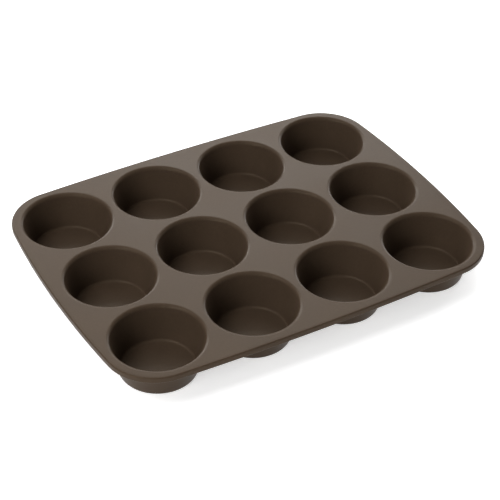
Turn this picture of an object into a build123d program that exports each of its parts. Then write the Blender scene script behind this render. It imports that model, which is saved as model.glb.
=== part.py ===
from build123d import *
import math
import os

# Twelve-cup muffin baking tray moulded in soft silicone, 4 cups by 3.
# Frame: origin under the middle of the tray on the surface that the cup floors
# stand on, +X along the long side, +Y towards the back, +Z up. Millimetres.

# ---------------------------------------------------------------- dimensions
PITCH = 95.0            # cup spacing, the same both ways
COLUMNS = 4             # cups along X
ROWS = 3                # cups along Y
HEIGHT = 36.0           # deck top above the surface the tray stands on

DECK_T = 2.2            # thickness of the flat deck
WALL_T = 1.8            # thickness of a cup wall, square to the wall
FLOOR_T = 2.0           # thickness of a cup floor

MOUTH_R = 42.3          # inner wall line carried up to the deck top
FLOOR_R = 33.8          # inner wall line carried down to the floor top
LIP_ROUND = 4.0         # round between deck top and inner wall
FLOOR_ROUND = 2.6       # round between inner wall and floor
UNDER_ROUND = 1.0       # round between outer wall and deck underside
HEEL_ROUND = 4.0        # round between outer wall and cup underside
COLLAR_R = 46.0         # flat collar of a cup meets the deck web here

HALF_LENGTH = 199.4     # middle of a short side from the centre
HALF_WIDTH = 149.7      # middle of a long side from the centre
SHORT_SIDE_R = 1015.0   # the short sides bow outwards on this radius
LONG_SIDE_R = 3200.0    # the long sides bow outwards on this radius
CORNER_R = 48.0         # plan radius of the four corners

RIM_W = 3.2             # width of the thickened bead around the deck
RIM_H = 6.0             # height of the bead, top level with the deck
RIM_TOP_ROUND = 1.3     # round on the outer top edge of the bead
RIM_LOW_ROUND = 1.0     # rounds on its two lower edges
RIM_ROOT_ROUND = 0.7    # hollow round where the bead meets the deck underside
RIM_SEAM = 4.0          # the bead's flat edge meets the deck web here


# ------------------------------------------------------------------ geometry
def corner_centre():
    """Centre of the corner circle that touches both side arcs from inside."""
    ax, ay, ar = 0.0, HALF_WIDTH - LONG_SIDE_R, LONG_SIDE_R - CORNER_R
    bx, by, br = HALF_LENGTH - SHORT_SIDE_R, 0.0, SHORT_SIDE_R - CORNER_R
    dx, dy = bx - ax, by - ay
    d = math.hypot(dx, dy)
    along = (ar * ar - br * br + d * d) / (2 * d)
    off = math.sqrt(ar * ar - along * along)
    mx, my = ax + dx * along / d, ay + dy * along / d
    both = [(mx - off * dy / d, my + off * dx / d), (mx + off * dy / d, my - off * dx / d)]
    return max(both, key=lambda c: c[0] + c[1])


def plan(inset):
    """Face of the tray's plan, moved inwards by inset: three arcs a quarter."""
    cx, cy = corner_centre()
    rc = CORNER_R - inset
    lx, ly = 0.0, HALF_WIDTH - LONG_SIDE_R
    sx, sy = HALF_LENGTH - SHORT_SIDE_R, 0.0

    def beyond(ox, oy):
        d = math.hypot(cx - ox, cy - oy)
        return cx + (cx - ox) / d * rc, cy + (cy - oy) / d * rc

    px, py = beyond(lx, ly)          # long side runs into the corner
    qx, qy = beyond(sx, sy)          # corner runs into the short side
    a = (math.atan2(py - cy, px - cx) + math.atan2(qy - cy, qx - cx)) / 2
    mx, my = cx + rc * math.cos(a), cy + rc * math.sin(a)
    top, side = HALF_WIDTH - inset, HALF_LENGTH - inset
    hx, hy = px / 2, LONG_SIDE_R - inset
    hy = ly + math.sqrt(hy * hy - hx * hx)
    ky, kx = qy / 2, SHORT_SIDE_R - inset
    kx = sx + math.sqrt(kx * kx - ky * ky)
    chain = [
        ((0, top), (hx, hy), (px, py)),
        ((px, py), (mx, my), (qx, qy)),
        ((qx, qy), (kx, ky), (side, 0)),
    ]
    edges = []
    for u, v in ((1, 1), (1, -1), (-1, -1), (-1, 1)):
        for arc in chain:
            edges.append(ThreePointArc(*[(x * u, y * v) for x, y in arc]))
    return make_face(Wire(edges))


def cup():
    """One cup with its rounded lip and flat collar, turned about Z."""
    slope = (MOUTH_R - FLOOR_R) / (HEIGHT - FLOOR_T)
    lean = math.atan(slope)
    out = WALL_T / math.cos(lean)
    low_r = FLOOR_R - slope * FLOOR_T + out
    under_z = HEIGHT - DECK_T
    under_r = FLOOR_R + slope * (under_z - FLOOR_T) + out

    points = [
        (0, FLOOR_T),
        (FLOOR_R, FLOOR_T),
        (MOUTH_R, HEIGHT),
        (COLLAR_R, HEIGHT),
        (COLLAR_R, under_z),
        (under_r, under_z),
        (low_r, 0),
        (0, 0),
    ]
    profile = make_face(Polyline(*points, close=True))
    for x, z, r in (
        (FLOOR_R, FLOOR_T, FLOOR_ROUND),
        (MOUTH_R, HEIGHT, LIP_ROUND),
        (under_r, under_z, UNDER_ROUND),
        (low_r, 0, HEEL_ROUND),
    ):
        at = [v for v in profile.vertices() if math.hypot(v.X - x, v.Y - z) < 1e-6]
        profile = fillet(at, radius=r)
    section = Plane.XZ * profile
    return revolve(section, axis=Axis.Z, revolution_arc=360)


def rim():
    """Thickened bead all the way round, with a thin flat edge to the deck."""
    low_z, under_z = HEIGHT - RIM_H, HEIGHT - DECK_T
    bead = Pos(0, 0, low_z) * extrude(plan(0) - plan(RIM_W), amount=RIM_H)
    ledge = Pos(0, 0, under_z) * extrude(plan(RIM_W) - plan(RIM_SEAM), amount=DECK_T)
    bead = bead + ledge

    def at_height(z):
        return [
            e
            for e in bead.edges()
            if abs(e.bounding_box().min.Z - z) < 1e-6 and abs(e.bounding_box().max.Z - z) < 1e-6
        ]

    bead = fillet([e for e in at_height(HEIGHT) if inset_of(e) < 0.1], radius=RIM_TOP_ROUND)
    bead = fillet(at_height(low_z), radius=RIM_LOW_ROUND)
    root = [e for e in at_height(under_z) if abs(inset_of(e) - RIM_W) < 0.1]
    return fillet(root, radius=RIM_ROOT_ROUND)


def inset_of(edge):
    """How far the middle of an edge lies inside the outer outline."""
    cx, cy = corner_centre()
    p = edge.position_at(0.5)
    x, y = abs(p.X), abs(p.Y)
    if x > cx and y > cy:
        return CORNER_R - math.hypot(x - cx, y - cy)
    if (y - cy) / (HALF_WIDTH - cy) > (x - cx) / (HALF_LENGTH - cx):
        return LONG_SIDE_R - math.hypot(x, y - (HALF_WIDTH - LONG_SIDE_R))
    return SHORT_SIDE_R - math.hypot(x - (HALF_LENGTH - SHORT_SIDE_R), y)


def deck():
    """Flat web between the cups, from the bead to the collars."""
    web = extrude(plan(RIM_SEAM), amount=DECK_T)
    holes = [Pos(x, y, 0) * Cylinder(COLLAR_R, 4 * DECK_T) for _, x, y in cup_places()]
    for hole in holes:
        web = web - hole
    return Pos(0, 0, HEIGHT - DECK_T) * web


def cup_places():
    names = ["front", "middle", "back"]
    for row in range(ROWS):
        for column in range(COLUMNS):
            x = (column - (COLUMNS - 1) / 2) * PITCH
            y = (row - (ROWS - 1) / 2) * PITCH
            yield f"cup_{names[row]}_{column + 1}", x, y


# -------------------------------------------------------------------- output
os.makedirs("parts", exist_ok=True)

parts = {"deck_web": deck(), "rim_bead": rim()}
one_cup = cup()
for name, x, y in cup_places():
    parts[name] = Pos(x, y, 0) * one_cup

for name, shape in parts.items():
    solid = shape.solids()[0] if len(shape.solids()) == 1 else shape
    export_step(solid, f"parts/{name}.step")
    print(name, round(solid.volume), "mm3")
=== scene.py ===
import bpy, math
from mathutils import Matrix, Vector


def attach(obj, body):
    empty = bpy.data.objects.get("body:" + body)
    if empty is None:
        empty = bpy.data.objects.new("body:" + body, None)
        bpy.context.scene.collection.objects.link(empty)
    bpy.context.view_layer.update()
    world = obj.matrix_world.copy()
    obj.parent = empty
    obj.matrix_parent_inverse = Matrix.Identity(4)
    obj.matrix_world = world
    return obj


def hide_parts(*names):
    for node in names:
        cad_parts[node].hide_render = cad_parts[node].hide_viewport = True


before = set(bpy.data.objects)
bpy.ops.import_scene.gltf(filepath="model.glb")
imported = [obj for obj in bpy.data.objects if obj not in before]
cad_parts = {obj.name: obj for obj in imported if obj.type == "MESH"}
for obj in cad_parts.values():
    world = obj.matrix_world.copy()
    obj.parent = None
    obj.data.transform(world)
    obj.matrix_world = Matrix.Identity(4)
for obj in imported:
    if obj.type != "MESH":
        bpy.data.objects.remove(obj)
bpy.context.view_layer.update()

# ------------------------------------------------------------------ dimensions
# The same driving dimensions as the CAD model, in millimetres.
MM = 0.001
PITCH, COLUMNS, ROWS, HEIGHT = 95.0, 4, 3, 36.0
DECK_T, WALL_T, FLOOR_T = 2.2, 1.8, 2.0
MOUTH_R, FLOOR_R, COLLAR_R = 42.3, 33.8, 46.0
LIP_ROUND, FLOOR_ROUND, UNDER_ROUND, HEEL_ROUND = 4.0, 2.6, 1.0, 4.0
HALF_LENGTH, HALF_WIDTH = 199.355, 149.655   # a hair inside the CAD box
SHORT_SIDE_R, LONG_SIDE_R, CORNER_R = 1015.0, 3200.0, 48.0
RIM_W, RIM_H, RIM_SEAM = 3.2, 6.0, 4.0
RIM_TOP_ROUND, RIM_LOW_ROUND, RIM_ROOT_ROUND = 1.3, 1.0, 0.7
UNDER_Z = HEIGHT - DECK_T

PER_SIDE = 48                      # mesh steps along one side of a cup's cell
AROUND = 4 * PER_SIDE              # mesh steps round a cup

# ---------------------------------------------------------------------- camera
CAM_POS = (-0.5636, -0.9716, 0.8995)
CAM_DOWN = (-0.295268, -0.545274, -0.784507)
CAM_FORWARD = (0.395820, 0.677568, -0.619862)
CAM_F_PX = 1495.48                 # focal length for a 500 px wide picture


def make_camera():
    data = bpy.data.cameras.new("camera")
    cam = bpy.data.objects.new("camera", data)
    bpy.context.scene.collection.objects.link(cam)
    z = -Vector(CAM_FORWARD).normalized()
    y = -Vector(CAM_DOWN)
    y = (y - z * y.dot(z)).normalized()
    x = y.cross(z)
    rot = Matrix((x, y, z)).transposed().to_4x4()
    cam.matrix_world = Matrix.Translation(CAM_POS) @ rot
    data.sensor_fit = "HORIZONTAL"
    data.sensor_width = 36.0
    data.lens = CAM_F_PX / 500.0 * 36.0
    data.clip_start = 0.01
    data.clip_end = 50.0
    data.dof.use_dof = False
    bpy.context.scene.camera = cam


make_camera()


# -------------------------------------------------------------------- profiles
def rounded(points, radii, steps):
    """A chain of points with its corners replaced by tangent arcs."""
    out = []
    n = len(points)
    for i, (x, y) in enumerate(points):
        r, k = radii[i], steps[i]
        if not r:
            out.append((x, y))
            continue
        ax, ay = points[i - 1]
        bx, by = points[(i + 1) % n]
        la, lb = math.hypot(ax - x, ay - y), math.hypot(bx - x, by - y)
        ux, uy, vx, vy = (ax - x) / la, (ay - y) / la, (bx - x) / lb, (by - y) / lb
        half = math.acos(max(-1, min(1, ux * vx + uy * vy))) / 2
        t = r / math.tan(half)
        mx, my = ux + vx, uy + vy
        lm = math.hypot(mx, my)
        cx, cy = x + mx / lm * r / math.sin(half), y + my / lm * r / math.sin(half)
        a0 = math.atan2(y + uy * t - cy, x + ux * t - cx)
        a1 = math.atan2(y + vy * t - cy, x + vx * t - cx)
        d = (a1 - a0 + math.pi) % (2 * math.pi) - math.pi
        for j in range(k + 1):
            a = a0 + d * j / k
            out.append((cx + r * math.cos(a), cy + r * math.sin(a)))
    return out


def between(a, b, n):
    return [(a[0] + (b[0] - a[0]) * i / n, a[1] + (b[1] - a[1]) * i / n) for i in range(1, n)]


def cup_profile():
    slope = (MOUTH_R - FLOOR_R) / (HEIGHT - FLOOR_T)
    out = WALL_T / math.cos(math.atan(slope))
    low_r = FLOOR_R - slope * FLOOR_T + out
    under_r = FLOOR_R + slope * (UNDER_Z - FLOOR_T) + out
    pts = [
        (0, FLOOR_T), (FLOOR_R, FLOOR_T), (MOUTH_R, HEIGHT), (COLLAR_R, HEIGHT),
        (COLLAR_R, UNDER_Z), (under_r, UNDER_Z), (low_r, 0), (0, 0),
    ]
    radii = [0, FLOOR_ROUND, LIP_ROUND, 0, 0, UNDER_ROUND, HEEL_ROUND, 0]
    steps = [0, 12, 14, 0, 0, 6, 12, 0]
    line = rounded(pts, radii, steps)
    full = []
    for i, p in enumerate(line):
        full.append(p)
        if i + 1 < len(line):
            q = line[i + 1]
            gap = math.hypot(q[0] - p[0], q[1] - p[1])
            if gap > 4.0:
                full += between(p, q, int(gap / 3.0))
    return full


# --------------------------------------------------------------------- outline
def corner_centre():
    ax, ay, ar = 0.0, HALF_WIDTH - LONG_SIDE_R, LONG_SIDE_R - CORNER_R
    bx, by, br = HALF_LENGTH - SHORT_SIDE_R, 0.0, SHORT_SIDE_R - CORNER_R
    dx, dy = bx - ax, by - ay
    d = math.hypot(dx, dy)
    along = (ar * ar - br * br + d * d) / (2 * d)
    off = math.sqrt(ar * ar - along * along)
    mx, my = ax + dx * along / d, ay + dy * along / d
    both = [(mx - off * dy / d, my + off * dx / d), (mx + off * dy / d, my - off * dx / d)]
    return max(both, key=lambda c: c[0] + c[1])


CX, CY = corner_centre()
LY = HALF_WIDTH - LONG_SIDE_R      # centre of the long side's arc, on x = 0
SX = HALF_LENGTH - SHORT_SIDE_R    # centre of the short side's arc, on y = 0
RL, RS, RC = LONG_SIDE_R - RIM_SEAM, SHORT_SIDE_R - RIM_SEAM, CORNER_R - RIM_SEAM
A_LONG = math.atan2(CY - LY, CX)   # normal's angle where the long side ends
A_SHORT = math.atan2(CY, CX - SX)  # and where the short side begins
A_MID = (A_LONG + A_SHORT) / 2


def on_long(x):
    n = (x / RL, math.sqrt(1 - (x / RL) ** 2))
    return (RL * n[0], LY + RL * n[1]), n


def on_short(y):
    n = (math.sqrt(1 - (y / RS) ** 2), y / RS)
    return (SX + RS * n[0], RS * n[1]), n


def on_corner(a):
    n = (math.cos(a), math.sin(a))
    return (CX + RC * n[0], CY + RC * n[1]), n


def long_to_corner(x0):
    """PER_SIDE steps from x0 on the long side to the middle of the corner."""
    px = RL * math.cos(A_LONG)
    a, b = px - x0, RC * (A_LONG - A_MID)
    out = []
    for i in range(PER_SIDE + 1):
        s = (a + b) * i / PER_SIDE
        out.append(on_long(x0 + s) if s <= a else on_corner(A_LONG - (s - a) / RC))
    return out


def corner_to_short(y1):
    """PER_SIDE steps from the middle of the corner to y1 on the short side."""
    qy = RS * math.sin(A_SHORT)
    a, b = RC * (A_MID - A_SHORT), qy - y1
    out = []
    for i in range(PER_SIDE + 1):
        s = (a + b) * i / PER_SIDE
        out.append(on_corner(A_MID - s / RC) if s < a else on_short(qy - (s - a)))
    return out


H = PITCH / 2


def flip(items, sx, sy):
    return [((p[0] * sx, p[1] * sy), (n[0] * sx, n[1] * sy)) for p, n in items]


def cell_sides(col, row):
    """Anticlockwise boundary of one cup's cell of the deck as four lists.

    Starts at the cell's lower right corner: right, top, left, bottom. Each
    list has PER_SIDE + 1 points with the outline's normal or None.
    """
    x = (col - (COLUMNS - 1) / 2) * PITCH
    y = (row - (ROWS - 1) / 2) * PITCH
    last_c, last_r = COLUMNS - 1, ROWS - 1

    def straight(a, b):
        return [((a[0] + (b[0] - a[0]) * i / PER_SIDE, a[1] + (b[1] - a[1]) * i / PER_SIDE), None)
                for i in range(PER_SIDE + 1)]

    right = col == last_c
    left = col == 0
    top = row == last_r
    bottom = row == 0

    # the four cell corners
    def corner(sx, sy):
        out_x = (sx > 0 and right) or (sx < 0 and left)
        out_y = (sy > 0 and top) or (sy < 0 and bottom)
        px, py = x + sx * H, y + sy * H
        if out_x and out_y:
            (cx, cy), _ = on_corner(A_MID)
            return (sx * cx, sy * cy)
        if out_x:
            (cx, _), _ = on_short(abs(py))
            return (sx * cx, py)
        if out_y:
            (_, cy), _ = on_long(abs(px))
            return (px, sy * cy)
        return (px, py)

    def outer_long(sy):
        """Left to right along the long side of this cell."""
        if right:
            items = long_to_corner(x - H)
        elif left:
            items = flip(long_to_corner(-(x + H)), -1, 1)[::-1]
        else:
            items = [on_long(x - H + PITCH * i / PER_SIDE) for i in range(PER_SIDE + 1)]
        return flip(items, 1, sy)

    def outer_short(sx):
        """Bottom to top along the short side of this cell."""
        if top:
            items = corner_to_short(y - H)[::-1]
        elif bottom:
            items = flip(corner_to_short(-(y + H)), 1, -1)
        else:
            items = [on_short(y - H + PITCH * i / PER_SIDE) for i in range(PER_SIDE + 1)]
        return flip(items, sx, 1)

    rs = outer_short(1) if right else straight(corner(1, -1), corner(1, 1))
    ts = (outer_long(1) if top else straight(corner(-1, 1), corner(1, 1)))[::-1]
    ls = (outer_short(-1) if left else straight(corner(-1, -1), corner(-1, 1)))[::-1]
    bs = outer_long(-1) if bottom else straight(corner(-1, -1), corner(1, -1))
    return x, y, [rs, ts, ls, bs], [right, top, left, bottom]


# ---------------------------------------------------------------------- meshes
def add_object(name, verts, faces, sharp_loops=()):
    mesh = bpy.data.meshes.new(name)
    mesh.from_pydata([tuple(c * MM for c in v) for v in verts], [], faces)
    mesh.validate()
    for p in mesh.polygons:
        p.use_smooth = True
    obj = bpy.data.objects.new(name, mesh)
    bpy.context.scene.collection.objects.link(obj)
    mesh.set_sharp_from_angle(angle=math.radians(35))
    mesh.update()
    return obj


def build_cup(name, x0, y0):
    prof = cup_profile()
    inner = prof[1:-1]
    verts, faces = [(x0, y0, prof[0][1])], []
    for r, z in inner:
        for k in range(AROUND):
            a = -math.pi / 4 + 2 * math.pi * k / AROUND
            verts.append((x0 + r * math.cos(a), y0 + r * math.sin(a), z))
    verts.append((x0, y0, prof[-1][1]))
    end = len(verts) - 1
    for k in range(AROUND):
        k2 = (k + 1) % AROUND
        faces.append((0, 1 + k, 1 + k2))
        for i in range(len(inner) - 1):
            a, b = 1 + i * AROUND, 1 + (i + 1) * AROUND
            faces.append((a + k, b + k, b + k2, a + k2))
        b = 1 + (len(inner) - 1) * AROUND
        faces.append((b + k, end, b + k2))
    return add_object(name, verts, faces)


class Welded:
    def __init__(self):
        self.index, self.verts, self.faces = {}, [], []

    def at(self, v):
        key = tuple(round(c * 1e4) for c in v)
        if key not in self.index:
            self.index[key] = len(self.verts)
            self.verts.append(v)
        return self.index[key]

    def face(self, *vs):
        ids = [self.at(v) for v in vs]
        if len(set(ids)) == len(ids):
            self.faces.append(tuple(ids))


def build_deck(name):
    w = Welded()
    rings = 5
    for row in range(ROWS):
        for col in range(COLUMNS):
            x, y, sides, outer = cell_sides(col, row)
            loop, out_edge = [], []
            for s, o in zip(sides, outer):
                loop += [p for p, _ in s[:-1]]
                out_edge += [o] * PER_SIDE
            n = len(loop)
            circle = []
            for k in range(n):
                a = -math.pi / 4 + 2 * math.pi * k / AROUND
                circle.append((x + COLLAR_R * math.cos(a), y + COLLAR_R * math.sin(a)))

            def grid(k, j, z):
                k %= n
                t = j / rings
                (ax, ay), (bx, by) = circle[k], loop[k]
                return (ax + (bx - ax) * t, ay + (by - ay) * t, z)

            for k in range(n):
                for j in range(rings):
                    w.face(grid(k, j, HEIGHT), grid(k, j + 1, HEIGHT), grid(k + 1, j + 1, HEIGHT), grid(k + 1, j, HEIGHT))
                    w.face(grid(k, j, UNDER_Z), grid(k + 1, j, UNDER_Z), grid(k + 1, j + 1, UNDER_Z), grid(k, j + 1, UNDER_Z))
                w.face(grid(k, 0, HEIGHT), grid(k + 1, 0, HEIGHT), grid(k + 1, 0, UNDER_Z), grid(k, 0, UNDER_Z))
                if out_edge[k]:
                    w.face(grid(k, rings, HEIGHT), grid(k, rings, UNDER_Z), grid(k + 1, rings, UNDER_Z), grid(k + 1, rings, HEIGHT))
    return add_object(name, w.verts, w.faces)


def outline_loop():
    """All outline points at the seam, anticlockwise, with their normals."""
    out = []

    def add(items):
        for p, n in items[:-1]:
            out.append((p, n))

    for row in range(ROWS):                       # right side, upwards
        add(cell_sides(COLUMNS - 1, row)[2][0])
    for col in reversed(range(COLUMNS)):          # top side, leftwards
        add(cell_sides(col, ROWS - 1)[2][1])
    for row in reversed(range(ROWS)):             # left side, downwards
        add(cell_sides(0, row)[2][2])
    for col in range(COLUMNS):                    # bottom side, rightwards
        add(cell_sides(col, 0)[2][3])
    return out


def rim_profile():
    """Closed section of the bead as (distance out from the seam, z)."""
    low = HEIGHT - RIM_H
    bead_in = RIM_SEAM - RIM_W
    pts = [
        (0, HEIGHT), (RIM_SEAM, HEIGHT), (RIM_SEAM, low), (bead_in, low),
        (bead_in, UNDER_Z), (0, UNDER_Z),
    ]
    radii = [0, RIM_TOP_ROUND, RIM_LOW_ROUND, RIM_LOW_ROUND, RIM_ROOT_ROUND, 0]
    return rounded(pts, radii, [0, 10, 8, 8, 6, 0])


def build_rim(name):
    loop, prof = outline_loop(), rim_profile()
    verts, faces = [], []
    m, n = len(prof), len(loop)
    for (px, py), (nx, ny) in loop:
        for d, z in prof:
            verts.append((px + nx * d, py + ny * d, z))
    for i in range(n):
        a, b = i * m, ((i + 1) % n) * m
        for j in range(m):
            j2 = (j + 1) % m
            faces.append((a + j, a + j2, b + j2, b + j))
    return add_object(name, verts, faces)


# -------------------------------------------------------------------- material
def silicone():
    mat = bpy.data.materials.new("moulded_skin")
    mat.use_nodes = True
    nt = mat.node_tree
    nt.nodes.clear()
    N, L = nt.nodes, nt.links

    def node(kind, **values):
        n = N.new(kind)
        for k, v in values.items():
            if k in n.inputs:
                n.inputs[k].default_value = v
            else:
                setattr(n, k, v)
        return n

    out = node("ShaderNodeOutputMaterial")
    bsdf = node("ShaderNodeBsdfPrincipled")
    L.new(bsdf.outputs[0], out.inputs[0])
    bsdf.inputs["IOR"].default_value = 1.43
    bsdf.inputs["Specular IOR Level"].default_value = 0.098
    bsdf.inputs["Specular Tint"].default_value = (1.0, 0.86, 0.66, 1)
    co = node("ShaderNodeTexCoord")
    obj = co.outputs["Object"]

    # soft cloudy tone of the pigment, a hand's breadth to a fingertip across
    cloud = node("ShaderNodeTexNoise", Scale=22.0, Detail=3.0, Roughness=0.55)
    L.new(obj, cloud.inputs["Vector"])
    fine = node("ShaderNodeTexNoise", Scale=420.0, Detail=3.0, Roughness=0.6)
    L.new(obj, fine.inputs["Vector"])
    ramp = node("ShaderNodeValToRGB")
    ramp.color_ramp.elements[0].position = 0.3
    ramp.color_ramp.elements[0].color = (0.0451, 0.0302, 0.0197, 1)
    ramp.color_ramp.elements[1].position = 0.7
    ramp.color_ramp.elements[1].color = (0.0519, 0.0348, 0.0227, 1)
    L.new(cloud.outputs["Fac"], ramp.inputs["Fac"])
    speck = node("ShaderNodeValToRGB")
    speck.color_ramp.elements[0].position = 0.3
    speck.color_ramp.elements[0].color = (0.93, 0.93, 0.93, 1)
    speck.color_ramp.elements[1].position = 0.75
    speck.color_ramp.elements[1].color = (1.05, 1.05, 1.05, 1)
    L.new(fine.outputs["Fac"], speck.inputs["Fac"])
    mix = node("ShaderNodeMix", data_type="RGBA", blend_type="MULTIPLY")
    mix.inputs[0].default_value = 1.0
    L.new(ramp.outputs["Color"], mix.inputs[6])
    L.new(speck.outputs["Color"], mix.inputs[7])
    L.new(mix.outputs[2], bsdf.inputs["Base Color"])

    rough = node("ShaderNodeMapRange")
    rough.inputs["From Min"].default_value = 0.3
    rough.inputs["From Max"].default_value = 0.7
    rough.inputs["To Min"].default_value = 0.34
    rough.inputs["To Max"].default_value = 0.4
    L.new(cloud.outputs["Fac"], rough.inputs["Value"])
    L.new(rough.outputs["Result"], bsdf.inputs["Roughness"])

    grain = node("ShaderNodeTexNoise", Scale=1500.0, Detail=2.0, Roughness=0.5)
    L.new(obj, grain.inputs["Vector"])
    bump1 = node("ShaderNodeBump", Strength=0.12, Distance=0.0001)
    L.new(grain.outputs["Fac"], bump1.inputs["Height"])
    L.new(bump1.outputs["Normal"], bsdf.inputs["Normal"])
    return mat


def stage_material(name, grey, emit):
    mat = bpy.data.materials.new(name)
    mat.use_nodes = True
    bsdf = mat.node_tree.nodes["Principled BSDF"]
    bsdf.inputs["Base Color"].default_value = (grey, grey, grey, 1)
    bsdf.inputs["Roughness"].default_value = 0.9
    bsdf.inputs["Specular IOR Level"].default_value = 0.2
    bsdf.inputs["Emission Color"].default_value = (1, 1, 1, 1)
    bsdf.inputs["Emission Strength"].default_value = emit
    return mat


# ---------------------------------------------------------------------- lights
# Soft white panels round the tray: (azimuth, elevation, metres away, watts). Azimuth is
# measured anticlockwise seen from above, from the front of the tray.
PANELS = [
    (150, 30, 3.2, 46.5), (270, 50, 1.6, 10.6), (300, 30, 1.6, 10.3), (180, 30, 3.2, 36.5),
    (120, 12, 3.2, 32.0), (180, 12, 3.2, 30.4), (0, 90, 3.2, 12.5), (120, 30, 3.2, 11.0),
    (150, 50, 3.2, 13.2), (240, 70, 3.2, 13.2), (30, 12, 3.2, 8.5), (330, 30, 3.2, 5.9),
    (180, 50, 3.2, 5.5), (210, 50, 3.2, 3.3),
]
PANEL_SPREAD = 0.4                 # side of a panel as a share of its distance
FLOOR_EMIT = 0.55
WORLD = 0.0


def make_lights():
    for az, el, dist, power in PANELS:
        a, e = math.radians(az), math.radians(el)
        away = Vector((math.sin(a) * math.cos(e), -math.cos(a) * math.cos(e), math.sin(e)))
        data = bpy.data.lights.new(f"panel_{az}_{el}", "AREA")
        data.shape = "SQUARE"
        data.size = PANEL_SPREAD * dist
        data.energy = power
        obj = bpy.data.objects.new(data.name, data)
        bpy.context.scene.collection.objects.link(obj)
        obj.location = away * dist
        obj.rotation_euler = away.to_track_quat("Z", "Y").to_euler()
    world = bpy.data.worlds.new("world")
    bpy.context.scene.world = world
    world.use_nodes = True
    bg = world.node_tree.nodes["Background"]
    bg.inputs[0].default_value = (1, 1, 1, 1)
    bg.inputs[1].default_value = WORLD


# -------------------------------------------------------------------- assembly
skin = silicone()


def place(obj, node):
    obj.data.materials.append(skin)
    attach(obj, "root")
    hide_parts(node)


names = ["front", "middle", "back"]
for r in range(ROWS):
    for c in range(COLUMNS):
        node_name = f"cup_{names[r]}_{c + 1}"
        cx = (c - (COLUMNS - 1) / 2) * PITCH
        cy = (r - (ROWS - 1) / 2) * PITCH
        place(build_cup(node_name + "_skin", cx, cy), node_name)
place(build_deck("deck_web_skin"), "deck_web")
place(build_rim("rim_bead_skin"), "rim_bead")



def ring_sheet(name, rings, mat):
    """A sheet swept round Z through (radius, z) rings, for the stage."""
    n = 64
    verts, faces = [], []
    for r, z in rings:
        for k in range(n):
            a = 2 * math.pi * k / n
            verts.append((r * math.cos(a), r * math.sin(a), z))
    if rings[0][0] < 1:
        faces.append(tuple(range(n)))
    for i in range(len(rings) - 1):
        for k in range(n):
            a, b, k2 = i * n, (i + 1) * n, (k + 1) % n
            faces.append((a + k, b + k, b + k2, a + k2))
    mesh = bpy.data.meshes.new(name)
    mesh.from_pydata(verts, [], faces)
    obj = bpy.data.objects.new(name, mesh)
    bpy.context.scene.collection.objects.link(obj)
    mesh.materials.append(mat)


ring_sheet("floor", [(0.9, -0.0003), (6.2, -0.0003)], stage_material("floor", 0.85, FLOOR_EMIT))
ring_sheet("backdrop", [(6.2, -0.0003), (6.2, 3.5)], stage_material("backdrop", 0.25, 0.05))

make_lights()
bpy.context.scene.view_settings.view_transform = "Standard"
